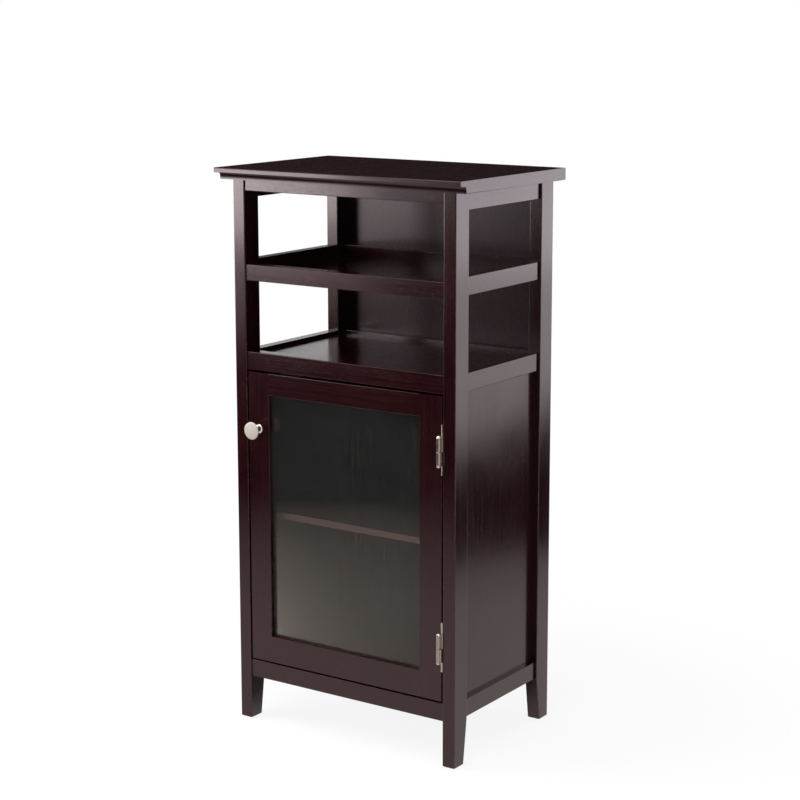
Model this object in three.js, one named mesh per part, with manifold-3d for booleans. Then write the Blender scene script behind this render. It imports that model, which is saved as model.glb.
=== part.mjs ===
// Wine cabinet on four posts: a bottle rack under the top, an open shelf, and a
// glazed door over two compartments. Millimetres, +Z up, front towards -Y.
// The origin is on the floor, under the middle of the top board.
import * as THREE from 'three';
import { mergeVertices } from 'three/addons/utils/BufferGeometryUtils.js';
import Module from 'manifold-3d';

const wasm = await Module();
wasm.setup();

// Top board and its moulded front edge
const topWidth = 485;
const topDepth = 320;
const topThickness = 20;
const topSideOverhang = 22.5;
const topFrontOverhang = 22;
const lipHeight = 8;
const lipDepth = 13;
const coveDepth = 3.5;
const coveFootHeight = 1.5;

// Heights, stacked from the floor
const glideThickness = 2;
const legHeight = 77;
const railHeight = 30;
const doorBayHeight = 508.5;
const openBayHeight = 123.5;
const bottleBayHeight = 104;

// Posts, tapered below the base rails on the side that faces under the cabinet
const postWidth = 23;
const postDepth = 38;
const footDepth = 28;
const glideRadius = 9;
const glideRim = 1.5;

// Rails between the posts
const railThickness = 20;
const frontRailSetback = 2.5;
const sideRailSetback = 4;
const frontApronHeight = 18;
const neckRailHeight = 27;
const neckRailDrop = 3.5;
const edgeEase = 1.5;

// Panels and shelves
const backThickness = 4.5;
const sidePanelThickness = 4;
const sidePanelSetback = 11.5;
const shelfThickness = 12;
const shelfPanelDrop = 6;
const rackPanelThickness = 6;
const innerShelfThickness = 12;
const innerShelfRise = 251.5;
const innerShelfSideGap = 0.25;
const innerShelfStart = 1;

// Shelf pins
const shelfPinRadius = 2.5;
const shelfPinReach = 8;
const shelfPinDepth = 8;
const shelfPinInset = 6;
const pinClearance = 0.25;

// Door frame and glass
const doorThickness = 19;
const doorSetback = 1;
const doorEndGap = 3.5;
const stileWidth = 42.25;
const doorTopRailHeight = 37;
const doorBottomRailHeight = 45.5;
const rebateWidth = 8;
const lipThickness = 5.5;
const glassThickness = 3;
const glassEdgeGap = 0.5;
const beadEdgeGap = 0.25;

// Hinges: two leaves fill the gap between the door and the right post
const leafThickness = 1.2;
const leafPlay = 0.6;
const leafHeight = 82;
const leafDepth = 17;
const leafProud = 0.5;
const upperHingeDrop = 86;
const lowerHingeRise = 91.5;
const knuckleRadius = 3.75;
const knuckleProjection = 4.65;
const knucklePlay = 0.15;
const seamGap = 0.25;
const barrelLength = 52.5;
const barrelDrop = 2;
const domeHeight = 3.5;
const pinRadius = 2;
const boreClearance = 0.08;
const knuckleRelief = 0.5;

// Knob and its screw
const knobDrop = 96;
const knobLength = 21.5;
const knobRadius = 14.75;
const knobBaseRadius = 8;
const knobBaseHeight = 2;
const knobNeckRadius = 4;
const knobFlare = 3;
const knobRimThickness = 1.5;
const knobCrown = 0.8;
const screwRadius = 2;
const screwGrip = 10;
const screwHeadRadius = 4;
const screwHeadHeight = 2.2;
const screwClearance = 0.3;

// Magnetic catch on the shelf rail, and its strike plate on the door
const catchWidth = 44;
const catchDepth = 12.5;
const catchHeight = 24;
const catchTopGap = 22;
const catchFromStile = 10;
const magnetWidth = 30;
const magnetHeight = 9;
const strikeThickness = 1;
const strikeMargin = 1;
const strikeGap = 0.25;

// Facets of the curves and round pieces, and the overrun of every cut
const easeSegments = 2;
const mouldingSegments = 6;
const knobCurveSegments = 6;
const domeSegments = 4;
const pinSegments = 20;
const hingeSegments = 24;
const knobSegments = 32;
const cutOverrun = 2;

// Levels worked out from the stack
const baseRailTop = legHeight + railHeight;
const shelfRailBottom = baseRailTop + doorBayHeight;
const shelfRailTop = shelfRailBottom + railHeight;
const rackRailBottom = shelfRailTop + openBayHeight;
const rackRailTop = rackRailBottom + railHeight;
const apronBottom = rackRailTop + bottleBayHeight;
const topUnderside = apronBottom + railHeight;
const topSurface = topUnderside + topThickness;

// Planes worked out from the top board
const frontEdge = -topDepth / 2;
const backFace = topDepth / 2;
const postOuterX = topWidth / 2 - topSideOverhang;
const postInnerX = postOuterX - postWidth;
const postFront = frontEdge + topFrontOverhang;
const frontPostRear = postFront + postDepth;
const rearPostFront = backFace - postDepth;
const frontRailFace = postFront + frontRailSetback;
const frontRailRear = frontRailFace + railThickness;
const backPanelFace = backFace - backThickness;
const rearRailFace = backPanelFace - railThickness;
const sideRailOuterX = postOuterX - sideRailSetback;
const sidePanelOuterX = postOuterX - sidePanelSetback;
const sidePanelInnerX = sidePanelOuterX - sidePanelThickness;

// Door planes
const doorGap = 2 * leafThickness + leafPlay;
const doorHalfWidth = postInnerX - doorGap;
const doorFront = postFront + doorSetback;
const doorRear = doorFront + doorThickness;
const doorBottom = baseRailTop + doorEndGap;
const doorTop = shelfRailBottom - doorEndGap;
const openingHalfWidth = doorHalfWidth - stileWidth;
const openingBottom = doorBottom + doorBottomRailHeight;
const openingTop = doorTop - doorTopRailHeight;
const glassFront = doorFront + lipThickness;
const glassRear = glassFront + glassThickness;
const knobX = -doorHalfWidth + stileWidth / 2;
const knobZ = doorTop - knobDrop;

const espresso = finish(0x2a1413, 0.34, 0);
const espressoPanel = finish(0x2f1a18, 0.42, 0);
const clearGlass = finish(0xdfe7e4, 0.05, 0);
clearGlass.transparent = true;
clearGlass.opacity = 0.25;
const satinNickel = finish(0xc9c4bb, 0.3, 1);
const zincSteel = finish(0x9c9c9a, 0.4, 1);
const brownPlastic = finish(0x35231c, 0.5, 0);
const blackPlastic = finish(0x1c1c1c, 0.55, 0);

function finish(color, roughness, metalness) {
  return new THREE.MeshStandardMaterial({ color, roughness, metalness });
}

// Turns a shape drawn in two world axes into a prism along the third, centred on it.
const prismAxes = {
  x: [[0, 1, 0], [0, 0, 1], [1, 0, 0]],
  y: [[0, 0, 1], [1, 0, 0], [0, 1, 0]],
  z: [[1, 0, 0], [0, 1, 0], [0, 0, 1]],
};

function prism(shape, length, axis, segments = easeSegments) {
  const geometry = new THREE.ExtrudeGeometry(shape, {
    depth: length,
    bevelEnabled: false,
    curveSegments: segments,
  });
  geometry.translate(0, 0, -length / 2);
  const [u, v, w] = prismAxes[axis].map((direction) => new THREE.Vector3(...direction));
  return geometry.applyMatrix4(new THREE.Matrix4().makeBasis(u, v, w));
}

function easedRectangle(width, height, radius) {
  const halfWidth = width / 2 - radius;
  const halfHeight = height / 2 - radius;
  const shape = new THREE.Shape();
  shape.absarc(halfWidth, -halfHeight, radius, -Math.PI / 2, 0);
  shape.absarc(halfWidth, halfHeight, radius, 0, Math.PI / 2);
  shape.absarc(-halfWidth, halfHeight, radius, Math.PI / 2, Math.PI);
  shape.absarc(-halfWidth, -halfHeight, radius, Math.PI, 1.5 * Math.PI);
  return shape;
}

function outline(points) {
  return new THREE.Shape(points.map(([u, v]) => new THREE.Vector2(u, v)));
}

function middle(low, high) {
  return low.map((value, index) => (value + high[index]) / 2);
}

function span(low, high) {
  return low.map((value, index) => high[index] - value);
}

// Solids for cuts and joins: shared corners are merged, so the mesh is closed.
function solid(geometry) {
  const bare = geometry.clone();
  bare.deleteAttribute('normal');
  bare.deleteAttribute('uv');
  const merged = mergeVertices(bare);
  return new wasm.Manifold(new wasm.Mesh({
    numProp: 3,
    vertProperties: new Float32Array(merged.attributes.position.array),
    triVerts: new Uint32Array(merged.index.array),
  }));
}

function solidBox(low, high) {
  const geometry = new THREE.BoxGeometry(...span(low, high));
  return solid(geometry.translate(...middle(low, high)));
}

function solidRod(radius, start, end, axis, sides) {
  const geometry = new THREE.CylinderGeometry(radius, radius, end.distanceTo(start), sides);
  if (axis === 'x') {
    geometry.rotateZ(Math.PI / 2);
  }
  if (axis === 'z') {
    geometry.rotateX(Math.PI / 2);
  }
  const centre = start.clone().add(end).divideScalar(2);
  return solid(geometry.translate(centre.x, centre.y, centre.z));
}

function geometryOf(manifold) {
  const mesh = manifold.getMesh();
  const geometry = new THREE.BufferGeometry();
  const corners = new Float32Array(mesh.vertProperties);
  geometry.setAttribute('position', new THREE.BufferAttribute(corners, 3));
  geometry.setIndex(new THREE.BufferAttribute(new Uint32Array(mesh.triVerts), 1));
  const flat = geometry.toNonIndexed();
  flat.computeVertexNormals();
  return flat;
}

const cabinet = new THREE.Group();
const door = new THREE.Group();
cabinet.add(door);

function place(name, geometry, material, position = [0, 0, 0], group = cabinet) {
  const mesh = new THREE.Mesh(geometry, material);
  mesh.name = name;
  mesh.position.set(...position);
  group.add(mesh);
  return mesh;
}

// A square-edged board between two corners
function board(name, low, high, material, group = cabinet) {
  return place(name, new THREE.BoxGeometry(...span(low, high)), material, middle(low, high), group);
}

// A rail with eased long edges between two corners, running along one axis
function rail(name, low, high, axis) {
  const [width, depth, height] = span(low, high);
  const section = axis === 'x'
    ? easedRectangle(depth, height, edgeEase)
    : easedRectangle(height, width, edgeEase);
  const length = axis === 'x' ? width : depth;
  return place(name, prism(section, length, axis), espresso, middle(low, high));
}

// Top board: square lip over a recessed cove along the front edge
function addTop() {
  const stepY = frontEdge + lipDepth;
  const coveBottomY = stepY + coveDepth;
  const lipBottom = topSurface - lipHeight;
  const coveBottom = topUnderside + coveFootHeight;
  const shape = new THREE.Shape();
  shape.moveTo(coveBottomY, topUnderside);
  shape.lineTo(backFace, topUnderside);
  shape.lineTo(backFace, topSurface - edgeEase);
  shape.absarc(backFace - edgeEase, topSurface - edgeEase, edgeEase, 0, Math.PI / 2);
  shape.absarc(frontEdge + edgeEase, topSurface - edgeEase, edgeEase, Math.PI / 2, Math.PI);
  shape.lineTo(frontEdge, lipBottom);
  shape.lineTo(stepY, lipBottom);
  shape.quadraticCurveTo(stepY + coveDepth / 2, (lipBottom + coveBottom) / 2 + coveDepth / 2,
    coveBottomY, coveBottom);
  place('top_board', prism(shape, topWidth, 'x', mouldingSegments), espresso);
}

// Posts: straight above the base rails, tapered below them, bored for the shelf pins
const pinZ = baseRailTop + innerShelfRise - pinClearance - shelfPinRadius;
const pinLocations = {
  front: frontPostRear - shelfPinInset,
  rear: rearPostFront + shelfPinInset,
};

function addPost(name, side, end) {
  const isFront = end === 'front';
  const fixedY = isFront ? postFront : backFace;
  const inward = isFront ? 1 : -1;
  const low = [postInnerX, Math.min(fixedY, fixedY + inward * postDepth), glideThickness];
  const high = [postOuterX, Math.max(fixedY, fixedY + inward * postDepth), topUnderside];
  const [width, depth, height] = span(low, high);
  const bar = prism(easedRectangle(width, depth, edgeEase), height, 'z').translate(...middle(low, high));
  const innerY = fixedY + inward * postDepth;
  const footY = fixedY + inward * footDepth;
  const slope = (innerY - footY) / (legHeight - glideThickness);
  const taper = outline([
    [innerY, legHeight],
    [footY - cutOverrun * slope, glideThickness - cutOverrun],
    [innerY + inward * cutOverrun, glideThickness - cutOverrun],
    [innerY + inward * cutOverrun, legHeight],
  ]);
  const wedge = prism(taper, width + 2 * cutOverrun, 'x');
  wedge.translate((postInnerX + postOuterX) / 2, 0, 0);
  const holeEnd = postInnerX + shelfPinDepth + pinClearance;
  const hole = solidRod(shelfPinRadius + pinClearance,
    new THREE.Vector3(postInnerX - cutOverrun, pinLocations[end], pinZ),
    new THREE.Vector3(holeEnd, pinLocations[end], pinZ), 'x', pinSegments);
  const post = solid(bar).subtract(solid(wedge)).subtract(hole);
  const shaped = side === 'right' ? post : post.mirror([1, 0, 0]);
  place(name, geometryOf(shaped), espresso);
}

// Foot glide: a low disc with a rounded rim under each post
function addGlide(name, side, end) {
  const profile = [
    [0, 0],
    [glideRadius - glideRim, 0],
    [glideRadius, glideThickness / 2],
    [glideRadius, glideThickness],
    [0, glideThickness],
  ].map(([radius, height]) => new THREE.Vector2(radius, height));
  const geometry = new THREE.LatheGeometry(profile, pinSegments).rotateX(Math.PI / 2);
  const footY = end === 'front' ? postFront + footDepth / 2 : backFace - footDepth / 2;
  const footX = (side === 'right' ? 1 : -1) * (postInnerX + postOuterX) / 2;
  place(name, geometry, blackPlastic, [footX, footY, 0]);
}

// One level of rails between the posts
function addRailLevel(prefix, bottom, frontBottom = bottom, frontHeight = railHeight) {
  rail(`${prefix}_front`, [-postInnerX, frontRailFace, frontBottom],
    [postInnerX, frontRailRear, frontBottom + frontHeight], 'x');
  rail(`${prefix}_rear`, [-postInnerX, rearRailFace, bottom],
    [postInnerX, backPanelFace, bottom + railHeight], 'x');
  for (const [side, sign] of [['left', -1], ['right', 1]]) {
    const nearX = sign * postInnerX;
    const farX = sign * sideRailOuterX;
    rail(`${prefix}_${side}`, [Math.min(nearX, farX), frontPostRear, bottom],
      [Math.max(nearX, farX), rearPostFront, bottom + railHeight], 'y');
  }
}

// A panel that fills one level inside its rails
function addLevelPanel(name, bottom, thickness) {
  board(name, [-postInnerX, frontRailRear, bottom],
    [postInnerX, rearRailFace, bottom + thickness], espressoPanel);
}

// Side panels near the middle of the posts' width, between posts and rails
function addSidePanel(name, sign) {
  const xs = [sign * sidePanelInnerX, sign * sidePanelOuterX];
  board(name, [Math.min(...xs), frontPostRear, baseRailTop],
    [Math.max(...xs), rearPostFront, shelfRailBottom], espressoPanel);
}

// Loose shelf inside the cabinet, on four pins
function addInnerShelf() {
  const halfWidth = postInnerX - innerShelfSideGap;
  const bottom = baseRailTop + innerShelfRise;
  board('inner_shelf', [-halfWidth, frontRailRear + innerShelfStart, bottom],
    [halfWidth, backPanelFace - innerShelfSideGap, bottom + innerShelfThickness], espresso);
  const inner = postInnerX - shelfPinReach;
  const outer = postInnerX + shelfPinDepth;
  for (const [side, sign] of [['left', -1], ['right', 1]]) {
    for (const [end, pinY] of Object.entries(pinLocations)) {
      const rod = new THREE.CylinderGeometry(shelfPinRadius, shelfPinRadius, outer - inner, pinSegments);
      place(`shelf_pin_${end}_${side}`, rod.rotateZ(Math.PI / 2), satinNickel,
        [sign * (inner + outer) / 2, pinY, pinZ]);
    }
  }
}

// Door frame: stiles and rails with a rebate behind a front lip for the glass
function addDoorFrame() {
  const rebateX = openingHalfWidth + rebateWidth;
  const stileShape = outline([
    [openingHalfWidth, doorFront],
    [doorHalfWidth, doorFront],
    [doorHalfWidth, doorRear],
    [rebateX, doorRear],
    [rebateX, glassFront],
    [openingHalfWidth, glassFront],
  ]);
  const stile = solid(prism(stileShape, doorTop - doorBottom, 'z')
    .translate(0, 0, (doorTop + doorBottom) / 2));
  const screwHole = solidRod(screwRadius + screwClearance,
    new THREE.Vector3(knobX, doorFront - cutOverrun, knobZ),
    new THREE.Vector3(knobX, doorRear + cutOverrun, knobZ), 'y', pinSegments);
  const knobStile = stile.mirror([1, 0, 0]).subtract(screwHole);
  place('door_stile_left', geometryOf(knobStile), espresso, [0, 0, 0], door);
  place('door_stile_right', geometryOf(stile), espresso, [0, 0, 0], door);
  addDoorRail('door_rail_top', openingTop, doorTop, 1);
  addDoorRail('door_rail_bottom', openingBottom, doorBottom, -1);
}

// A door rail: its rear part reaches behind the lips of both stiles
function addDoorRail(name, openingZ, outerZ, direction) {
  const rebateX = openingHalfWidth + rebateWidth;
  const rebateZ = openingZ + direction * rebateWidth;
  const boxBetween = (xLow, xHigh, yLow, yHigh, zOne, zOther) => solidBox(
    [xLow, yLow, Math.min(zOne, zOther)], [xHigh, yHigh, Math.max(zOne, zOther)]);
  let body = boxBetween(-rebateX, rebateX, doorFront, doorRear, openingZ, outerZ);
  const outwardZ = outerZ + direction * cutOverrun;
  const inwardZ = openingZ - direction * cutOverrun;
  for (const sign of [-1, 1]) {
    const edges = [sign * openingHalfWidth, sign * (rebateX + cutOverrun)];
    body = body.subtract(boxBetween(Math.min(...edges), Math.max(...edges),
      doorFront - cutOverrun, glassFront, inwardZ, outwardZ));
  }
  body = body.subtract(boxBetween(-rebateX - cutOverrun, rebateX + cutOverrun,
    glassFront, doorRear + cutOverrun, inwardZ, rebateZ));
  place(name, geometryOf(body), espresso, [0, 0, 0], door);
}

// Glass in the rebate, held by four flat beads
function addGlass() {
  const glassX = openingHalfWidth + rebateWidth - glassEdgeGap;
  const glassLow = openingBottom - rebateWidth + glassEdgeGap;
  const glassHigh = openingTop + rebateWidth - glassEdgeGap;
  board('door_glass', [-glassX, glassFront, glassLow], [glassX, glassRear, glassHigh], clearGlass, door);
  const beadX = openingHalfWidth + rebateWidth - beadEdgeGap;
  const beadLow = openingBottom - rebateWidth + beadEdgeGap;
  const beadHigh = openingTop + rebateWidth - beadEdgeGap;
  board('glass_bead_bottom', [-beadX, glassRear, beadLow], [beadX, doorRear, openingBottom], espresso, door);
  board('glass_bead_top', [-beadX, glassRear, openingTop], [beadX, doorRear, beadHigh], espresso, door);
  board('glass_bead_left', [-beadX, glassRear, openingBottom + beadEdgeGap],
    [-openingHalfWidth, doorRear, openingTop - beadEdgeGap], espresso, door);
  board('glass_bead_right', [openingHalfWidth, glassRear, openingBottom + beadEdgeGap],
    [beadX, doorRear, openingTop - beadEdgeGap], espresso, door);
}

// One hinge: the frame leaf carries the lower knuckle, the door leaf the upper one
function addHinge(label, centreZ) {
  const axisX = postInnerX - leafThickness - knucklePlay - knuckleRadius;
  const axisY = postFront - knuckleProjection;
  const leafRear = postFront + leafDepth;
  const leafLow = centreZ - leafHeight / 2;
  const leafHigh = centreZ + leafHeight / 2;
  const seamZ = centreZ - barrelDrop;
  const barrelLow = seamZ - barrelLength / 2;
  const barrelHigh = seamZ + barrelLength / 2;
  const boreRadius = pinRadius + boreClearance;
  const ring = (low, high) => solidRod(knuckleRadius, new THREE.Vector3(axisX, axisY, low),
    new THREE.Vector3(axisX, axisY, high), 'z', hingeSegments);
  const bore = solidRod(boreRadius, new THREE.Vector3(axisX, axisY, barrelLow - cutOverrun),
    new THREE.Vector3(axisX, axisY, barrelHigh + cutOverrun), 'z', hingeSegments);
  const lowerLow = barrelLow + domeHeight;
  const lowerHigh = seamZ - seamGap / 2;
  const upperLow = seamZ + seamGap / 2;
  const upperHigh = barrelHigh - domeHeight - seamGap;

  const leafFront = postFront - leafProud;
  const frameLeafX = postInnerX - leafThickness;
  const frameLeaf = solidBox([frameLeafX, leafFront, leafLow], [postInnerX, leafRear, leafHigh])
    .add(solidBox([frameLeafX, axisY, lowerLow], [postInnerX, leafRear, lowerHigh]))
    .add(solidBox([axisX + boreRadius + leafThickness / 2, axisY, lowerLow],
      [postInnerX, axisY + knuckleRadius / 2, lowerHigh]))
    .add(ring(lowerLow, lowerHigh))
    .subtract(bore);
  place(`hinge_${label}_frame_leaf`, geometryOf(frameLeaf), satinNickel);

  const doorLeafX = doorHalfWidth + leafThickness;
  const reliefY = axisY + knuckleRadius + knuckleRelief;
  const relief = (low, high) => solidBox([doorHalfWidth - cutOverrun, axisY, low],
    [doorLeafX + cutOverrun, reliefY, high]);
  const doorLeaf = solidBox([doorHalfWidth, leafFront, leafLow], [doorLeafX, leafRear, leafHigh])
    .subtract(relief(barrelLow - knuckleRelief, upperLow))
    .subtract(relief(upperHigh, barrelHigh + knuckleRelief))
    .add(solidBox([doorHalfWidth, axisY, upperLow], [doorLeafX, leafRear, upperHigh]))
    .add(ring(upperLow, upperHigh))
    .subtract(bore);
  place(`hinge_${label}_door_leaf`, geometryOf(doorLeaf), satinNickel, [0, 0, 0], door);

  const domePoints = (tip, base) => Array.from({ length: domeSegments + 1 }, (_, index) => {
    const angle = (index / domeSegments) * Math.PI / 2;
    return [knuckleRadius * Math.sin(angle), tip + (base - tip) * (1 - Math.cos(angle))];
  });
  const lowerDome = domePoints(barrelLow, lowerLow - seamGap);
  const upperDome = domePoints(barrelHigh, barrelHigh - domeHeight);
  const profile = [
    ...lowerDome,
    [pinRadius, lowerLow - seamGap],
    [pinRadius, barrelHigh - domeHeight],
    ...upperDome.reverse(),
  ].map(([radius, height]) => new THREE.Vector2(radius, height));
  const pin = new THREE.LatheGeometry(profile, hingeSegments).rotateX(Math.PI / 2);
  place(`hinge_${label}_pin`, pin, satinNickel, [axisX, axisY, 0]);
}

// Round knob on a slim neck, with a blind bore for its screw
function addKnob() {
  const boreRadius = screwRadius + screwClearance;
  const boreDepth = screwGrip + screwClearance;
  const rimBack = knobLength - knobCrown - knobRimThickness;
  const curve = new THREE.Path();
  curve.moveTo(knobBaseRadius, knobBaseHeight);
  curve.quadraticCurveTo(knobNeckRadius, knobBaseHeight, knobNeckRadius, knobBaseHeight + knobFlare);
  curve.lineTo(knobNeckRadius, rimBack - knobFlare);
  curve.quadraticCurveTo(knobNeckRadius, rimBack, knobRadius, rimBack);
  curve.lineTo(knobRadius, rimBack + knobRimThickness);
  curve.quadraticCurveTo(knobRadius / 2, knobLength, 0, knobLength);
  const profile = [
    new THREE.Vector2(0, boreDepth),
    new THREE.Vector2(boreRadius, boreDepth),
    new THREE.Vector2(boreRadius, 0),
    new THREE.Vector2(knobBaseRadius, 0),
    ...curve.getPoints(knobCurveSegments),
  ];
  const knob = new THREE.LatheGeometry(profile, knobSegments).rotateX(Math.PI);
  place('knob', knob, satinNickel, [knobX, doorFront, knobZ], door);

  const shankLength = doorThickness + screwGrip;
  const screw = new THREE.LatheGeometry([
    [0, -shankLength],
    [screwRadius, -shankLength],
    [screwRadius, 0],
    [screwHeadRadius, 0],
    [screwHeadRadius, screwHeadHeight / 2],
    [screwHeadRadius / 2, screwHeadHeight],
    [0, screwHeadHeight],
  ].map(([radius, height]) => new THREE.Vector2(radius, height)), pinSegments);
  place('knob_screw', screw, zincSteel, [knobX, doorRear, knobZ], door);
}

// Magnetic catch behind the shelf rail, reaching down behind the top of the door
function addCatch() {
  const catchX = -openingHalfWidth + catchFromStile;
  const catchTop = shelfRailTop - catchTopGap;
  const catchLow = catchTop - catchHeight;
  board('catch_housing', [catchX, frontRailRear, catchLow],
    [catchX + catchWidth, frontRailRear + catchDepth, catchTop], brownPlastic);
  const magnetX = catchX + (catchWidth - magnetWidth) / 2;
  const magnetLow = catchLow + strikeMargin;
  const strikeFace = doorRear + strikeThickness;
  board('catch_magnet', [magnetX, strikeFace + strikeGap, magnetLow],
    [magnetX + magnetWidth, frontRailRear, magnetLow + magnetHeight], zincSteel);
  board('strike_plate', [magnetX - strikeMargin, doorRear, magnetLow - strikeMargin],
    [magnetX + magnetWidth + strikeMargin, strikeFace, magnetLow + magnetHeight + strikeMargin],
    zincSteel, door);
}

addTop();
for (const end of ['front', 'rear']) {
  for (const side of ['left', 'right']) {
    addPost(`post_${end}_${side}`, side, end);
    addGlide(`foot_glide_${end}_${side}`, side, end);
  }
}
addRailLevel('base_rail', legHeight);
addRailLevel('shelf_rail', shelfRailBottom);
addRailLevel('rack_rail', rackRailBottom, rackRailBottom - neckRailDrop, neckRailHeight);
addRailLevel('apron', apronBottom, topUnderside - frontApronHeight, frontApronHeight);
addLevelPanel('base_panel', baseRailTop - shelfThickness, shelfThickness);
addLevelPanel('shelf_panel', shelfRailTop - shelfPanelDrop - shelfThickness, shelfThickness);
addLevelPanel('rack_panel', rackRailBottom, rackPanelThickness);
addSidePanel('side_panel_left', -1);
addSidePanel('side_panel_right', 1);
board('back_panel', [-postInnerX, backPanelFace, legHeight],
  [postInnerX, backFace, topUnderside], espressoPanel);
addInnerShelf();
addDoorFrame();
addGlass();
addHinge('upper', doorTop - upperHingeDrop);
addHinge('lower', doorBottom + lowerHingeRise);
addKnob();
addCatch();

export default cabinet;
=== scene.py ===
import math
import bmesh
import bpy
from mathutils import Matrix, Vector


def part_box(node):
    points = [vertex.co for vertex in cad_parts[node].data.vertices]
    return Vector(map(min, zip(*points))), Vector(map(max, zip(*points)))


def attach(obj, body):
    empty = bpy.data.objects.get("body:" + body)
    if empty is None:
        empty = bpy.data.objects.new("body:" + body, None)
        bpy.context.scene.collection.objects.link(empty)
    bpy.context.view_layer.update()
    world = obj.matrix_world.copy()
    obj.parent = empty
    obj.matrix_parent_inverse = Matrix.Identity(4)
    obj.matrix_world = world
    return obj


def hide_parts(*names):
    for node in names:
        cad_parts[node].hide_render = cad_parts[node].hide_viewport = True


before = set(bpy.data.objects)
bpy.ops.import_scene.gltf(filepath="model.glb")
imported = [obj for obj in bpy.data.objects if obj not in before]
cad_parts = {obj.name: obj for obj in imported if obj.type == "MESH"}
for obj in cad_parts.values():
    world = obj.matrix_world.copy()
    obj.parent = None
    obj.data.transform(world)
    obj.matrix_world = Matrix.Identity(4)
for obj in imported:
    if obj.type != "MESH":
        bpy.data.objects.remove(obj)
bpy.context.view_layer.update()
mm = 0.001
print("frame loaded,", len(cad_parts), "nodes")


# shader helpers

class Wire:
    # one output socket; sums on it become Math nodes
    def __init__(self, paint, socket):
        self.paint = paint
        self.socket = socket

    def math(self, operation, first, second, clamp=False):
        settings = {"operation": operation, "use_clamp": clamp}
        return self.paint.node("Math", settings, {0: first, 1: second})

    def __add__(self, other):
        return self.math("ADD", self, other)

    def __radd__(self, other):
        return self.math("ADD", other, self)

    def __sub__(self, other):
        return self.math("SUBTRACT", self, other)

    def __rsub__(self, other):
        return self.math("SUBTRACT", other, self)

    def __mul__(self, other):
        return self.math("MULTIPLY", self, other)

    def __rmul__(self, other):
        return self.math("MULTIPLY", other, self)

    def __truediv__(self, other):
        return self.math("DIVIDE", self, other)

    def __pow__(self, other):
        return self.math("POWER", self, other)

    def held(self):
        # kept between 0 and 1
        return self.math("ADD", self, 0.0, clamp=True)


class Paint:
    # the nodes of one material or of the world
    def __init__(self, owner):
        owner.use_nodes = True
        self.owner = owner
        self.tree = owner.node_tree
        self.tree.nodes.clear()

    def node(self, kind, settings=None, sockets=None, out=0):
        made = self.tree.nodes.new("ShaderNode" + kind)
        for key, value in (settings or {}).items():
            setattr(made, key, value)
        for key, value in (sockets or {}).items():
            if isinstance(value, Wire):
                self.tree.links.new(value.socket, made.inputs[key])
            else:
                made.inputs[key].default_value = value
        return Wire(self, made.outputs[out]) if len(made.outputs) else None

    def blend(self, share, first, second):
        # the Mix node has its two colours at 6 and 7, and their blend at output 2
        return self.node("Mix", {"data_type": "RGBA"}, {0: share, 6: first, 7: second}, out=2)

    def noise(self, sizes, detail=3.0, roughness=0.55, distortion=0.0):
        # noise on the object, with one cell as large as the three sizes
        where = self.node("TexCoord", out="Object")
        scale = tuple(1 / size for size in sizes)
        where = self.node("Mapping", None, {"Vector": where, "Scale": scale})
        return self.node("TexNoise", None, {"Vector": where, "Scale": 1.0, "Detail": detail,
                                            "Roughness": roughness, "Distortion": distortion})

    def speckle(self, size, detail=3.0):
        return self.noise((size, size, size), detail)

    def bump(self, strength, distance, height):
        return self.node("Bump", None, {"Strength": strength, "Distance": distance, "Height": height})

    def done(self, surface):
        self.node("OutputMaterial", None, {"Surface": surface})
        return self.owner


def tint(red, green, blue):
    # screen values from 0 to 255, as the linear colour that the nodes take
    def linear(value):
        share = value / 255
        return share / 12.92 if share <= 0.04045 else ((share + 0.055) / 1.055) ** 2.4
    return (linear(red), linear(green), linear(blue), 1.0)


def shaded(colour, factor):
    return tuple(factor * part for part in colour[:3]) + (1.0,)


def newPaint(name):
    return Paint(bpy.data.materials.new(name))


noiseMean = 0.5
white = (1, 1, 1, 1)


# finishes

woodLook = {
    "dark": tint(20, 2, 5),
    "light": tint(37, 7, 10),
    "pore": tint(10, 2, 4),
    # lighter colour on the rounded edges: partly wear, partly a painted highlight along them
    "wornHighlight": tint(72, 42, 40),
    "streak": (2.6 * mm, 170 * mm),        # width and length of the grain's streaks
    "pores": (0.55 * mm, 11 * mm),
    "cloud": 90 * mm,
    "wearHighlightNoise": 7 * mm,
    "stain": (0.4, 1.5, 0.8),              # lightness, and how much streaks and clouds change it
    "pits": (0.6, 6.0, 0.6),               # noise level where pores start, their slope and darkness
    "wearHighlight": (0.42, 3.0, 0.55),             # the same for the edges' lighter mark, which is wear and a painted highlight
    "roughness": 0.18,
    "specular": 0.49,
    "sheenTint": (1.0, 0.84, 0.88, 1.0),
    "relief": 0.03 * mm,
    "reliefStrength": 0.5,
    "streakHeight": 0.7,                   # against the depth of a pore
    "sheenGrain": 0.14,                    # how much the grain varies the roughness
    "sheenCloud": 0.7,                     # the clouds' part in that
}


def alongGrain(axis, width, length):
    return tuple(length if name == axis else width for name in "xyz")


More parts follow.
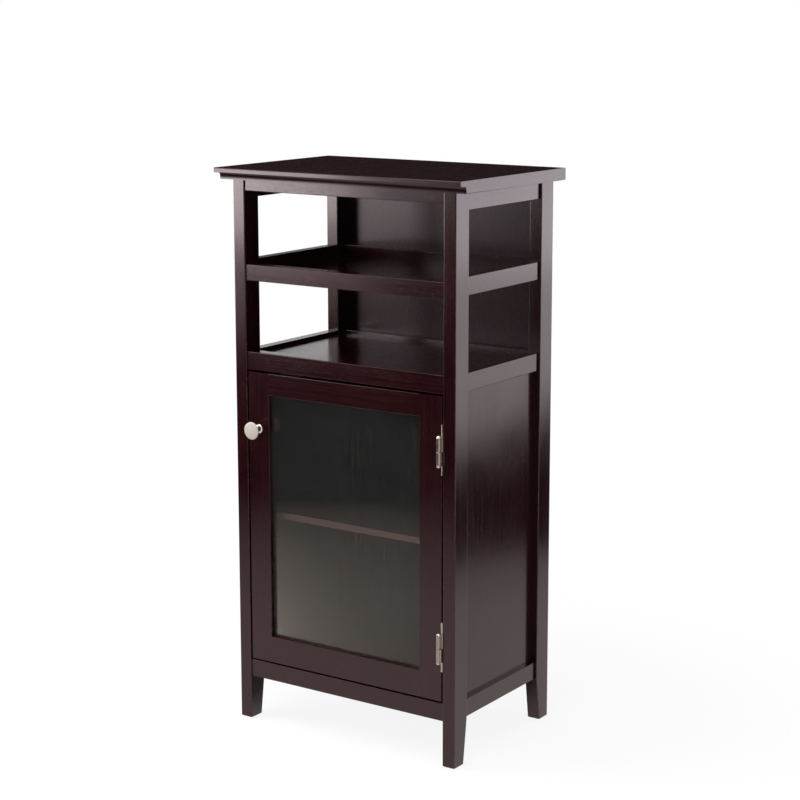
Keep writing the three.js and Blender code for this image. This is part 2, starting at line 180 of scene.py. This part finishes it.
def espressoWood(name, axis, look=woodLook):
    # dark stain under satin lacquer, with the grain along one axis
    paint = newPaint(name)
    streak = paint.noise(alongGrain(axis, *look["streak"]), detail=5.0, roughness=0.6, distortion=0.5)
    pores = paint.noise(alongGrain(axis, *look["pores"]), detail=2.0, roughness=0.5)
    cloud = paint.speckle(look["cloud"], detail=2.0)
    lightness, streakShare, cloudShare = look["stain"]
    pitStart, pitSlope, pitShare = look["pits"]
    wearHighlightStart, wearHighlightSlope, wearHighlightShare = look["wearHighlight"]
    pits = ((pores - pitStart) * pitSlope).held()
    share = ((streak - noiseMean) * streakShare + (cloud - noiseMean) * cloudShare + lightness).held()
    stain = paint.blend(share, look["dark"], look["light"])
    stain = paint.blend(pits * pitShare, stain, look["pore"])
    # the roundings turn lighter: wear, and a painted highlight along the edges
    edge = paint.node("Attribute", {"attribute_name": "edgeWearHighlight"}, out="Fac")
    wearHighlightNoise = paint.speckle(look["wearHighlightNoise"])
    wornHighlight = (edge * ((wearHighlightNoise - wearHighlightStart) * wearHighlightSlope).held() * wearHighlightShare).held()
    stain = paint.blend(wornHighlight, stain, look["wornHighlight"])
    grain = streak - noiseMean + pits + (cloud - noiseMean) * look["sheenCloud"]
    return paint.done(paint.node("BsdfPrincipled", None, {
        "Base Color": stain,
        "Roughness": look["roughness"] + grain * look["sheenGrain"],
        "Normal": paint.bump(look["reliefStrength"], look["relief"], streak * look["streakHeight"] - pits),
        "Specular IOR Level": look["specular"],
        "Specular Tint": look["sheenTint"]}))


metalLook = {
    "brushLength": 18 * mm, "smudge": 11 * mm, "smudgeShare": 0.5, "smudgeShade": 0.78,
    "sheenSpread": 0.12, "reliefStrength": 0.25, "relief": 0.02 * mm,
}


def satinMetal(name, colour, roughness, brush):
    # plated metal with fine brushing and a little uneven sheen
    look = metalLook
    paint = newPaint(name)
    lines = paint.noise(alongGrain("z", brush, look["brushLength"]))
    smudge = paint.speckle(look["smudge"])
    dull = (smudge * look["smudgeShare"]).held()
    spread = look["sheenSpread"]
    return paint.done(paint.node("BsdfPrincipled", None, {
        "Base Color": paint.blend(dull, colour, shaded(colour, look["smudgeShade"])),
        "Metallic": 1.0,
        "Roughness": roughness + (lines - noiseMean) * spread + (smudge - noiseMean) * spread,
        "Normal": paint.bump(look["reliefStrength"], look["relief"], lines)}))


plasticLook = {
    "stipple": 0.5 * mm, "cloud": 14 * mm, "cloudShare": 0.4, "cloudShade": 1.5,
    "sheenSpread": 0.15, "reliefStrength": 0.3, "relief": 0.05 * mm,
}


def mouldedPlastic(name, colour, roughness):
    look = plasticLook
    paint = newPaint(name)
    stipple = paint.speckle(look["stipple"], detail=2.0)
    cloud = paint.speckle(look["cloud"], detail=2.0)
    pale = (cloud * look["cloudShare"]).held()
    return paint.done(paint.node("BsdfPrincipled", None, {
        "Base Color": paint.blend(pale, colour, shaded(colour, look["cloudShade"])),
        "Roughness": roughness + (stipple - noiseMean) * look["sheenSpread"],
        "Normal": paint.bump(look["reliefStrength"], look["relief"], stipple)}))


glassLook = {
    "clear": tint(250, 252, 251), "gloss": tint(255, 243, 234), "film": tint(200, 204, 202),
    "index": 1.5, "mirrorShare": 0.25, "roughness": 0.03,
    "haze": 120 * mm, "leastFilm": 0.004, "filmSpread": 0.014,
}


def floatGlass(name):
    # clear pane: see-through, with a mirror share that grows at a slant and faint haze
    look = glassLook
    paint = newPaint(name)
    haze = paint.speckle(look["haze"], detail=4.0)
    fresnel = paint.node("Fresnel", None, {"IOR": look["index"]})
    clear = paint.node("BsdfTransparent", None, {"Color": look["clear"]})
    gloss = paint.node("BsdfGlossy", None, {"Color": look["gloss"], "Roughness": look["roughness"]})
    film = paint.node("BsdfDiffuse", None, {"Color": look["film"]})
    pane = paint.node("MixShader", None, {"Fac": fresnel * look["mirrorShare"], 1: clear, 2: gloss})
    filmShare = look["leastFilm"] + haze * look["filmSpread"]
    return paint.done(paint.node("MixShader", None, {"Fac": filmShare, 1: pane, 2: film}))


wood = {axis: espressoWood("espressoWood_" + axis, axis) for axis in "xyz"}
panelLook = dict(woodLook, specular=0.4)
backLook = dict(woodLook, roughness=0.27, specular=0.31, sheenTint=(1.0, 0.85, 0.92, 1.0),
                relief=0.004 * mm, sheenGrain=0.02)
panel = {axis: espressoWood("espressoPanel_" + axis, axis, panelLook) for axis in "xz"}
backWood = espressoWood("espressoBack", "z", backLook)
# a lighter copy of the wood for the shelf's front edge: a painted highlight, so that it shows through the
# pane
shelfEdgeHighlightLook = dict(woodLook, dark=tint(56, 36, 35), light=tint(72, 49, 47))
shelfEdgeHighlightWood = espressoWood("espressoShelfEdgeHighlight", "x", shelfEdgeHighlightLook)
topLook = dict(woodLook, relief=0.004 * mm)
topWood = espressoWood("espressoTop", "x", topLook)
sillLook = dict(woodLook, roughness=0.5, specular=0.12)
sillWood = espressoWood("espressoSill", "x", sillLook)
fineBrush = 0.25 * mm
nickel = satinMetal("satinNickel", tint(228, 218, 210), 0.22, fineBrush)
brushedNickel = satinMetal("brushedNickel", tint(220, 208, 202), 0.5, fineBrush)
# darker copies of the nickel, as painted shade on the hinge knuckles and on the knob's neck
shadedNickel = satinMetal("shadedNickel", tint(158, 146, 138), 0.25, fineBrush)
neckShadeNickel = satinMetal("neckShadeNickel", tint(88, 80, 76), 0.35, fineBrush)
zinc = satinMetal("zincPlate", tint(176, 177, 176), 0.36, 0.4 * mm)
brownPlastic = mouldedPlastic("brownPlastic", tint(62, 44, 37), 0.5)
blackPlastic = mouldedPlastic("blackPlastic", tint(34, 34, 34), 0.55)
glass = floatGlass("floatGlass")
print("finishes ready")


# mesh helpers

boardSharp, turnedSharp = 34, 50           # degrees; steeper edges stay sharp


def at(u, v):
    return Vector((u, v))


def curve(start, pull, end, steps):
    return [start * (1 - t) ** 2 + pull * 2 * t * (1 - t) + end * t * t
            for t in (step / steps for step in range(steps + 1))]


def rounded(corners, steps=4):
    # corners (u, v, radius) as an outline, and whether each side lies on a rounding
    outline = []
    for index, (u, v, radius) in enumerate(corners):
        here = at(u, v)
        if radius == 0:
            outline.append((here, False))
            continue
        before = Vector(corners[index - 1][:2])
        after = Vector(corners[(index + 1) % len(corners)][:2])
        start = here + (before - here).normalized() * radius
        end = here + (after - here).normalized() * radius
        points = curve(start, here, end, steps)
        outline += [(point, step < steps) for step, point in enumerate(points)]
    return outline


def inSpace(axis, along, u, v):
    return {"x": (along, u, v), "y": (u, along, v), "z": (u, v, along)}[axis]


def loft(rings, onRounding):
    # closes a row of equal rings into one body; its roundings carry the mask for wear and a painted
    # highlight
    bm = bmesh.new()
    wearHighlight = bm.faces.layers.float.new("edgeWearHighlight")
    loops = [[bm.verts.new(point) for point in ring] for ring in rings]
    count = len(onRounding)
    for lower, upper in zip(loops, loops[1:]):
        for side in range(count):
            after = (side + 1) % count
            face = bm.faces.new((lower[side], lower[after], upper[after], upper[side]))
            face[wearHighlight] = 1.0 if onRounding[side] else 0.0
    bm.faces.new(list(reversed(loops[0])))
    bm.faces.new(loops[-1])
    return bm


def bar(corners, axis, low, high, steps=4):
    outline = rounded(corners, steps)
    rings = [[inSpace(axis, along, *point) for point, _ in outline] for along in (low, high)]
    return loft(rings, [flag for _, flag in outline])


def boxCorners(low, high, radius):
    return [(low[0], low[1], radius), (high[0], low[1], radius),
            (high[0], high[1], radius), (low[0], high[1], radius)]


def bevelEdges(bm, edges, width):
    # rounds the edges, and marks them for wear and a painted highlight
    made = bmesh.ops.bevel(bm, geom=edges, offset=width, segments=2, profile=0.5, affect="EDGES")
    wearHighlight = bm.faces.layers.float["edgeWearHighlight"]
    for face in made["faces"]:
        face[wearHighlight] = 1.0


def softenEnds(bm, width):
    # a small rounding round every cap; only the caps have more than four corners, except on a plain box
    isBox = len(bm.faces) == 6
    caps = [face for face in bm.faces if len(face.verts) > 4 or isBox]
    bevelEdges(bm, list(dict.fromkeys(edge for face in caps for edge in face.edges)), width)


def revolve(profile, centre, axis, steps, isRing=False):
    # profile (radius, height) turned round an axis through centre; a ring's profile meets itself
    bm = bmesh.new()
    turn = [2 * math.pi * step / steps for step in range(steps)]
    rings = []
    for radius, height in profile:
        spots = [(radius * math.cos(a), radius * math.sin(a)) for a in turn] if radius else [(0, 0)]
        rings.append([bm.verts.new(centre + Vector(inSpace(axis, height, *spot))) for spot in spots])
    for lower, upper in zip(rings, rings[1:] + (rings[:1] if isRing else [])):
        for step in range(steps):
            after = (step + 1) % steps
            ring = [lower[step % len(lower)], lower[after % len(lower)],
                    upper[after % len(upper)], upper[step % len(upper)]]
            corners = list(dict.fromkeys(ring))
            if len(corners) > 2:
                bm.faces.new(corners)
    return bm


def keepFlats(data, sharpAngle):
    # normals weighted by face size, so that wide faces stay flat beside their roundings
    touching = {}
    for face in data.polygons:
        for vert in face.vertices:
            touching.setdefault(vert, []).append((face.normal.copy(), face.area))
    nearly = math.cos(math.radians(sharpAngle))
    normals = []
    for face in data.polygons:
        for vert in face.vertices:
            total = Vector((0, 0, 0))
            for normal, area in touching[vert]:
                if normal.dot(face.normal) > nearly:
                    total += normal * area
            normals.append(total.normalized())
    data.normals_split_custom_set(normals)


def settle(name, bm, material, body, nodes, sharpAngle=boardSharp):
    # makes the piece, gives it its finish, ties it to its body, and hides the nodes it stands in for
    bmesh.ops.recalc_face_normals(bm, faces=bm.faces)
    data = bpy.data.meshes.new(name)
    bm.to_mesh(data)
    bm.free()
    data.materials.append(material)
    data.shade_smooth()
    data.set_sharp_from_angle(angle=math.radians(sharpAngle))
    keepFlats(data, sharpAngle)
    piece = bpy.data.objects.new(name, data)
    bpy.context.scene.collection.objects.link(piece)
    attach(piece, body)
    if nodes:
        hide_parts(*nodes)
    return piece


def finishSide(piece, material, outward, nearly=0.99):
    # a second finish, on the faces that look the way of outward
    piece.data.materials.append(material)
    for face in piece.data.polygons:
        face.material_index = 1 if face.normal.dot(Vector(outward)) > nearly else 0


def refinish(node, material):
    # keeps the node's shape and gives it a finish
    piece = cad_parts[node]
    piece.data.materials.clear()
    piece.data.materials.append(material)


def boardFor(node, axis, ease, endEase=0, body="frame"):
    # a board with eased long edges in the place of a node, and eased ends where asked
    low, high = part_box(node)
    across = [index for index, name in enumerate("xyz") if name != axis]
    along = "xyz".index(axis)
    corners = boxCorners([low[i] for i in across], [high[i] for i in across], ease)
    bm = bar(corners, axis, low[along], high[along])
    if endEase:
        softenEnds(bm, endEase)
    return settle(node + "_dressed", bm, wood[axis], body, [node])


# top board: a square lip over a slanting cove along the front

topBoard = {
    "lip": 8 * mm, "setback": 13 * mm, "cove": 3.5 * mm, "foot": 1.5 * mm,
    "ease": 1.5 * mm, "underEase": 0.7 * mm, "endEase": 0.7 * mm, "coveSteps": 8,
}


def makeTop():
    low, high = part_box("top_board")
    front, back, under, top = low.y, high.y, low.z, high.z
    lipUnder = top - topBoard["lip"]
    stepY = front + topBoard["setback"]
    footY = stepY + topBoard["cove"]
    coveEnd = under + topBoard["foot"]
    start, end = at(stepY, lipUnder), at(footY, coveEnd)
    pull = (start + end) / 2 + at(topBoard["cove"], topBoard["cove"]) / 2
    corners = [(back, under, topBoard["underEase"]), (back, top, topBoard["ease"]),
               (front, top, topBoard["ease"]), (front, lipUnder, topBoard["underEase"])]
    corners += [(point.x, point.y, 0) for point in curve(start, pull, end, topBoard["coveSteps"])]
    corners += [(footY, under, 0)]
    bm = bar(corners, "x", low.x, high.x)
    softenEnds(bm, topBoard["endEase"])
    board = settle("top_board_dressed", bm, wood["x"], "frame", ["top_board"])
    finishSide(board, topWood, (0, 0, 1))


makeTop()


# posts, tapered under the base rails on their inner side

post = {"ease": 1.6 * mm, "footEase": 0.8 * mm, "footDepth": 28 * mm}


def makePost(node):
    low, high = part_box(node)
    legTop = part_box("base_rail_front")[0].z
    isFront = "front" in node
    rings = []
    for along in (low.z, legTop, high.z):
        depth = post["footDepth"] if along == low.z else high.y - low.y
        first = low.y if isFront else high.y - depth
        outline = rounded(boxCorners((low.x, first), (high.x, first + depth), post["ease"]))
        rings.append([(point.x, point.y, along) for point, _ in outline])
    bm = loft(rings, [flag for _, flag in outline])
    lowest = min(vert.co.z for vert in bm.verts)
    bottom = [edge for edge in bm.edges if all(vert.co.z == lowest for vert in edge.verts)]
    bevelEdges(bm, bottom, post["footEase"])
    settle(node + "_dressed", bm, wood["z"], "frame", [node])


for end in ("front", "rear"):
    for side in ("left", "right"):
        makePost(f"post_{end}_{side}")
        refinish(f"foot_glide_{end}_{side}", blackPlastic)
print("top and posts ready")


# rails between the posts, and the panels of each level

rail = {"ease": 1.0 * mm, "endEase": 0.6 * mm}

for level in ("base_rail", "shelf_rail", "rack_rail", "apron"):
    for place, axis in (("front", "x"), ("rear", "x"), ("left", "y"), ("right", "y")):
        boardFor(f"{level}_{place}", axis, rail["ease"], rail["endEase"])
for node in ("base_panel", "shelf_panel", "rack_panel"):
    refinish(node, panel["x"])
for node in ("side_panel_left", "side_panel_right"):
    refinish(node, panel["z"])
refinish("back_panel", backWood)
print("rails and panels ready")


# loose shelf on its pins

innerShelf = {"ease": 1.2 * mm}

shelf = boardFor("inner_shelf", "x", innerShelf["ease"])
# the front edge takes the lighter wood, as a painted highlight
finishSide(shelf, shelfEdgeHighlightWood, (0, -1, 0))
for end in ("front", "rear"):
    for side in ("left", "right"):
        refinish(f"shelf_pin_{end}_{side}", nickel)


# door: frame, pane and beads

door = {
    "outerEase": 0.9 * mm, "innerEase": 0.9 * mm, "rebateEase": 0.3 * mm, "beadEase": 0.5 * mm,
    "jointEase": 0.02 * mm, "rebatePlay": 0.25 * mm,
    "sillEase": 0.2 * mm, "sillSlope": 0.3,    # faces that look up more than this are the sill
}


def makeStile(node, sign):
    # its inner edge is eased beside the pane, and square where the rails meet it
    low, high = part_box(node)
    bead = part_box("glass_bead_left")
    rebate = bead[1].x - bead[0].x
    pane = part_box("door_glass")[0].y
    outer, inner = (high.x, low.x) if sign > 0 else (low.x, high.x)
    step = inner + sign * (rebate + door["rebatePlay"])
    openLow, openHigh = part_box("glass_bead_bottom")[1].z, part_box("glass_bead_top")[0].z
    ease, joint = door["innerEase"], door["jointEase"]
    rings = []
    for along, innerEase in ((low.z, joint), (openLow - ease, joint), (openLow, ease),
                             (openHigh, ease), (openHigh + ease, joint), (high.z, joint)):
        outline = rounded([(outer, low.y, door["outerEase"]), (outer, high.y, door["outerEase"]),
                           (step, high.y, door["rebateEase"]), (step, pane, 0),
                           (inner, pane, door["rebateEase"]), (inner, low.y, innerEase)])
        rings.append([(point.x, point.y, along) for point, _ in outline])
    bm = loft(rings, [flag for _, flag in outline])
    settle(node + "_dressed", bm, wood["z"], "door", [node])


def makeDoorRail(node, sign, ease):
    # a lip in front and a tongue behind that runs on behind both stiles
    low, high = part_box(node)
    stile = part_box("door_stile_right")[0].x
    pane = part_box("door_glass")[0].y
    inner, outer = (low.z, high.z) if sign > 0 else (high.z, low.z)
    step = inner + sign * (high.x - stile)
    lip = [(low.y, outer, door["outerEase"]), (pane, outer, 0), (pane, inner, door["rebateEase"]),
           (low.y, inner, ease)]
    tongue = [(pane, outer, 0), (high.y, outer, door["outerEase"]), (high.y, step, door["rebateEase"]),
              (pane, step, 0)]
    bm = bar(lip, "x", -stile, stile)
    front = settle(node + "_dressed", bm, wood["x"], "door", [node])
    bm = bar(tongue, "x", low.x, high.x)
    settle(node + "_tongue", bm, wood["x"], "door", ())
    return front


makeStile("door_stile_left", -1)
makeStile("door_stile_right", 1)
makeDoorRail("door_rail_top", 1, door["innerEase"])
sill = makeDoorRail("door_rail_bottom", -1, door["sillEase"])
finishSide(sill, sillWood, (0, 0, 1), door["sillSlope"])
for side, axis in (("top", "x"), ("bottom", "x"), ("left", "z"), ("right", "z")):
    boardFor("glass_bead_" + side, axis, door["beadEase"], body="door")
refinish("door_glass", glass)
print("door ready")


# knob: a thin flange, a waisted neck and a low crowned disc

knob = {
    "foot": 1 * mm, "footRadius": 8 * mm, "footHeight": 3.6 * mm, "footBulge": 0.9,
    "neckRadius": 3.4 * mm, "flare": 0.8 * mm,
    "rim": 1.9 * mm, "crown": 0.4 * mm, "edge": 0.6 * mm, "edgeRise": 0.15,
    "steps": 10, "edgeSteps": 3, "turns": 72,
}


def turnPiece(name, line, centre, metal, nodes=()):
    # line is half an outline: radius, and height off the door
    bm = revolve([(point.x, -point.y) for point in line], centre, "y", knob["turns"])
    settle(name, bm, metal, "door", nodes, turnedSharp)


def makeKnob():
    low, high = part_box("knob")
    radius, length = (high.x - low.x) / 2, high.y - low.y
    centre = Vector(((low.x + high.x) / 2, high.y, (low.z + high.z) / 2))
    steps, edge, neck, flare = knob["steps"], knob["edge"], knob["neckRadius"], knob["flare"]
    foot, footRadius, footHeight = knob["foot"], knob["footRadius"], knob["footHeight"]
    rimBack = length - knob["crown"] - knob["rim"]
    rimFront = rimBack + knob["rim"]
    shoulder = at(radius - edge, rimFront + edge * knob["edgeRise"])
    disc = [at(0, rimBack), at(radius - edge, rimBack), at(radius, rimBack + edge),
            at(radius, rimFront - edge)]
    disc += curve(disc[-1], at(radius, rimFront), shoulder, knob["edgeSteps"])[1:]
    disc += curve(shoulder, at(radius / 2, length), at(0, length), steps)[1:]
    bulge = at(footRadius * knob["footBulge"], footHeight)
    flange = [at(0, 0), at(footRadius, 0), at(footRadius, foot)]
    flange += curve(flange[-1], bulge, at(neck, footHeight), steps)[1:] + [at(0, footHeight)]
    stem = [at(0, footHeight), at(neck, footHeight)]
    stem += curve(at(neck, rimBack - flare), at(neck, rimBack), at(neck + flare, rimBack), steps)
    stem += [at(0, rimBack)]
    turnPiece("knob_dressed", disc, centre, brushedNickel, ["knob"])
    turnPiece("knob_flange", flange, centre, nickel)
    # the neck in darker nickel: painted shade between the disc and the flange
    turnPiece("knob_neck", stem, centre, neckShadeNickel)


makeKnob()
refinish("knob_screw", zinc)


# hinges: a thin leaf on each side of the gap, knuckles with eased ends, and low screw heads

hinge = {
    "leaf": 1.2 * mm, "proud": 0.5 * mm, "leafEase": 0.5 * mm, "leafSteps": 2,
    "dome": 3.5 * mm, "play": 0.25 * mm, "bore": 2.08 * mm, "knuckleEase": 1.2 * mm,
    "easeSteps": 4, "turns": 48,
}
screw = {
    "radius": 2.9 * mm, "proud": 0.09 * mm, "dish": 0.05 * mm, "turns": 24,
    "rings": (0.5, 0.85),                  # shares of the radius where the dish and the flat end
    "heights": (0.14, 0.5, 0.86), "fromRear": 6.5 * mm,
}


def makeScrews(leaf, body, face, outward, low, high):
    # shallow countersunk heads, on the face that looks at the other leaf
    radius, proud = screw["radius"], screw["proud"]
    dish, flat = screw["rings"]
    profile = [(0, proud - screw["dish"]), (radius * dish, proud), (radius * flat, proud),
               (radius, 0), (0, 0)]
    for number, share in enumerate(screw["heights"], 1):
        centre = Vector((face, high.y - screw["fromRear"], low.z + share * (high.z - low.z)))
        bm = revolve([(across, outward * rise) for across, rise in profile], centre, "x", screw["turns"])
        settle(f"{leaf}_screw_{number}", bm, zinc, body, ())


def makeKnuckle(name, body, centre, radius, low, high):
    ease, steps = hinge["knuckleEase"], hinge["easeSteps"]
    profile = [at(hinge["bore"], low)]
    profile += curve(at(radius - ease, low), at(radius, low), at(radius, low + ease), steps)
    profile += curve(at(radius, high - ease), at(radius, high), at(radius - ease, high), steps)
    profile += [at(hinge["bore"], high)]
    bm = revolve(profile, centre, "z", hinge["turns"], isRing=True)
    settle(name, bm, shadedNickel, body, (), turnedSharp)


def makeLeaf(leaf, pin, body, metal, near, far, barrelLow, barrelHigh):
    # near and far are the two sides of the thin leaf; the web reaches forward to the knuckle
    low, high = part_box(leaf)
    pinLow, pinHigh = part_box(pin)
    axis = (pinLow + pinHigh) / 2
    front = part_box("post_front_right")[0].y - hinge["proud"]
    ease, steps = hinge["leafEase"], hinge["leafSteps"]
    bm = bar(boxCorners((near, front), (far, high.y), ease), "z", low.z, high.z, steps)
    settle(leaf + "_dressed", bm, metal, body, [leaf])
    web = boxCorners((near, axis.y), (far, front + hinge["leaf"]), ease)
    bm = bar(web, "z", barrelLow, barrelHigh, steps)
    settle(leaf + "_web", bm, nickel, body, ())
    makeKnuckle(leaf + "_knuckle", body, Vector((axis.x, axis.y, 0)), (pinHigh.x - pinLow.x) / 2,
                barrelLow, barrelHigh)


def makeHinge(label):
    frameLeaf, doorLeaf, pin = (f"hinge_{label}_{part}" for part in ("frame_leaf", "door_leaf", "pin"))
    refinish(pin, nickel)
    pinLow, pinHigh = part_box(pin)
    seam = (pinLow.z + pinHigh.z) / 2
    play, thick = hinge["play"], hinge["leaf"]
    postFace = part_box("post_front_right")[0].x
    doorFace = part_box("door_stile_right")[1].x
    makeLeaf(frameLeaf, pin, "frame", nickel, postFace - thick, postFace,
             pinLow.z + hinge["dome"], seam - play / 2)
    makeLeaf(doorLeaf, pin, "door", brushedNickel, doorFace, doorFace + thick,
             seam + play / 2, pinHigh.z - hinge["dome"] - play)
    makeScrews(frameLeaf, "frame", postFace - thick, -1, *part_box(frameLeaf))
    makeScrews(doorLeaf, "door", doorFace + thick, 1, *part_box(doorLeaf))


for label in ("upper", "lower"):
    makeHinge(label)
for node in ("catch_magnet", "strike_plate"):
    refinish(node, zinc)
refinish("catch_housing", brownPlastic)
print("fittings ready")


# floor, light and camera

studio = {
    "floorSize": 24.0,
    "floorTint": tint(240, 240, 240),
    "floorShare": 0.88,                    # how much of the floor is plain white near the cabinet
    "mirroredTint": (1.0, 0.93, 0.9, 1.0),    # the floor as mirrors see it: a painted warm reflection, warmer than the white the camera sees
    "pool": (0.55, 1.0),                   # radii where that share starts to rise, and where it is all
    "shade": (0.2, 0.15, 0.08),            # half sizes under the cabinet, and how softly they end
    "fillLevel": 0.5,
}


def seenRays(paint, *kinds):
    # 1 for the kinds of rays named, 0 for the others
    rays = [paint.node("LightPath", out=f"Is {kind} Ray") for kind in kinds]
    return sum(rays[1:], rays[0]).held()


def inBand(paint, where, axis, half, soft):
    # 1 in the middle of a band of the floor, fading to 0 at half its width
    along = paint.node("SeparateXYZ", None, {0: where}, out=axis)
    return ((half - paint.node("Math", {"operation": "ABSOLUTE"}, {0: along})) / soft).held()


def stageSheet(name, outlines, material):
    # flat sheets for the studio, one for each outline
    bm = bmesh.new()
    for outline in outlines:
        bm.faces.new([bm.verts.new(point) for point in outline])
    data = bpy.data.meshes.new(name)
    bm.to_mesh(data)
    bm.free()
    data.materials.append(material)
    sheet = bpy.data.objects.new(name, data)
    bpy.context.scene.collection.objects.link(sheet)
    return sheet


def makeFloor():
    paint = newPaint("paleFloor")
    where = paint.node("TexCoord", out="Object")
    reach = paint.node("VectorMath", {"operation": "LENGTH"}, {0: where}, out="Value")
    near, far = studio["pool"]
    outside = ((reach - near) / (far - near)).held()
    halfWide, halfDeep, soft = studio["shade"]
    covered = inBand(paint, where, "X", halfWide, soft) * inBand(paint, where, "Y", halfDeep, soft)
    glossy = seenRays(paint, "Glossy")
    looking = seenRays(paint, "Camera", "Transmission")
    plain = studio["floorShare"] + outside * (1 - studio["floorShare"])
    share = (looking * plain + glossy * (1 - covered)).held()
    seen = paint.blend(glossy, white, studio["mirroredTint"])
    lit = paint.node("BsdfDiffuse", None, {"Color": studio["floorTint"]})
    shining = paint.node("Emission", None, {"Color": seen, "Strength": 1.0})
    surface = paint.done(paint.node("MixShader", None, {"Fac": share, 1: lit, 2: shining}))
    half = studio["floorSize"] / 2
    corners = ((-half, -half, 0), (half, -half, 0), (half, half, 0), (-half, half, 0))
    stageSheet("floor", [corners], surface)


def makeWorld():
    world = bpy.data.worlds.new("studioWorld")
    bpy.context.scene.world = world
    paint = Paint(world)
    fill = paint.node("Background", None, {"Color": white, "Strength": studio["fillLevel"]})
    plain = paint.node("Background", None, {"Color": white, "Strength": 1.0})
    seen = seenRays(paint, "Camera", "Glossy", "Transmission")
    mixed = paint.node("MixShader", None, {"Fac": seen, 1: fill, 2: plain})
    paint.node("OutputWorld", None, {"Surface": mixed})


flags = {
    # dark cards that the lacquer mirrors; name: two ends on the floor plan, foot, grey, and the head
    # as shares of the way between the ends with their heights
    "frontFlag": ((-2.2, -0.75), (-0.85, -1.45), 0.0, 12, ((0, 0.36), (1, 0.44))),
    "rightFlag": ((-0.85, -1.45), (-0.52, -1.462), 0.0, 12, ((0, 0.71), (1, 0.73))),
    "cornerFlag": ((-0.52, -1.462), (0.5, -1.5), 0.0, 12, ((0, 1.5), (1, 1.5))),
    "sideFlag": ((1.0, 0.47), (0.59, 1.46), 0.0, 12, (
        (0, 0.15), (0.30, 0.208), (0.345, 0.226), (0.43, 0.248), (0.49, 0.232),
        (0.5, 0.285), (0.55, 0.30), (1, 0.51))),
    "backFlag": ((-2.6, 0.9), (0.2, 2.6), 1.15, 12, ((0, 2.5), (1, 2.5))),
    "topFlag": ((-1.0, 0.1), (0.35, 0.9), 0.85, 32, ((0, 2.2), (1, 2.2))),
}


def hideCard(card):
    # only mirrors see it
    card.visible_camera = False
    card.visible_shadow = False
    card.visible_diffuse = False


def makeFlags():
    for name, (start, end, foot, grey, head) in flags.items():
        paint = newPaint(name + "Cloth")
        cloth = paint.done(paint.node("BsdfDiffuse", None, {"Color": tint(grey, grey, grey)}))
        places = [at(*start).lerp(at(*end), share) for share, _ in head]
        feet = [(*place, foot) for place in places]
        heads = [(*place, height) for place, (_, height) in zip(places, head)]
        outlines = zip(feet, feet[1:], heads[1:], heads)
        hideCard(stageSheet(name, outlines, cloth))


floorCloth = {
    # hides little by little what the lacquer and the pane mirror of the floor, from a radius outwards
    "corners": ((-2.2, -0.75), (-0.3, 0.16), (0.26, 0.16), (0.6, 1.5),
                (1.3, -0.25), (0.5, -1.5), (-0.85, -1.45)),
    "height": 0.004, "start": 0.6, "reach": 1.15, "grey": 12,
}


def makeFloorCloth():
    paint = newPaint("softCloth")
    where = paint.node("TexCoord", out="Object")
    radius = paint.node("VectorMath", {"operation": "LENGTH"}, {0: where}, out="Value")
    cover = ((radius - floorCloth["start"]) / floorCloth["reach"]).held() ** 2
    grey = floorCloth["grey"]
    cloth = paint.node("BsdfDiffuse", None, {"Color": tint(grey, grey, grey)})
    clear = paint.node("BsdfTransparent", None, {"Color": white})
    surface = paint.done(paint.node("MixShader", None, {"Fac": cover, 1: clear, 2: cloth}))
    outline = [(x, y, floorCloth["height"]) for x, y in floorCloth["corners"]]
    hideCard(stageSheet("floorCloth", [outline], surface))


lamps = {
    # name: middle, aimed at, width, height, power in watts, colour, seen by mirrors;
    # the mirrored cards end below the top board, which would glare in other views
    "frontCard": ((-1.66, -1.22, 0.8), (-0.1, -0.1, 0.7), 1.5, 0.36, 15.5, (1.0, 1.0, 0.98), True),
    "frontFill": ((-1.66, -1.22, 1.26), (-0.1, -0.1, 1.16), 1.5, 0.55, 23, (1.0, 1.0, 0.98), False),
    "sideHigh": ((1.3, 1.55, 0.725), (0.2, 0, 0.65), 1.5, 0.35, 4.5, (1.0, 1.0, 1.06), True),
    "sideFill": ((1.3, 1.55, 1.175), (0.2, 0, 1.1), 1.5, 0.55, 7, (1.0, 1.0, 1.06), False),
    "sideLow": ((1.3, 1.55, 0.33), (0.2, 0, 0.33), 1.5, 0.44, 2.3, (1.0, 1.0, 1.0), True),
    "topLamp": ((-0.2, -0.8, 2.6), (0, 0, 0.3), 1.6, 1.6, 45, (1.0, 1.0, 1.0), True),
}


def makeLamps():
    for name, (place, target, width, height, power, colour, mirrored) in lamps.items():
        light = bpy.data.lights.new(name, "AREA")
        light.shape = "RECTANGLE"
        light.size, light.size_y, light.energy = width, height, power
        light.color = colour
        lamp = bpy.data.objects.new(name, light)
        lamp.location = place
        lamp.rotation_euler = (Vector(target) - Vector(place)).to_track_quat("-Z", "Y").to_euler()
        lamp.visible_camera = False
        lamp.visible_glossy = mirrored
        bpy.context.scene.collection.objects.link(lamp)


view = {
    "place": (1.8272, -2.63173, 1.2113),
    "down": 0.1742747, "turn": 0.5930839,    # radians
    "focalPixels": 1939.57, "centre": (416.31, 350.0), "pixels": 800, "sensor": 36.0,
}


def makeCamera():
    data = bpy.data.cameras.new("photoView")
    data.sensor_width = view["sensor"]
    data.lens = data.sensor_width * view["focalPixels"] / view["pixels"]
    half = view["pixels"] / 2
    data.shift_x = (half - view["centre"][0]) / view["pixels"]
    data.shift_y = (view["centre"][1] - half) / view["pixels"]
    camera = bpy.data.objects.new("photoView", data)
    camera.location = view["place"]
    camera.rotation_euler = (math.pi / 2 - view["down"], 0, view["turn"])
    bpy.context.scene.collection.objects.link(camera)
    bpy.context.scene.camera = camera


makeFloor()
makeWorld()
makeFlags()
makeFloorCloth()
makeLamps()
makeCamera()
bpy.context.scene.view_settings.view_transform = "Standard"
print("studio ready")
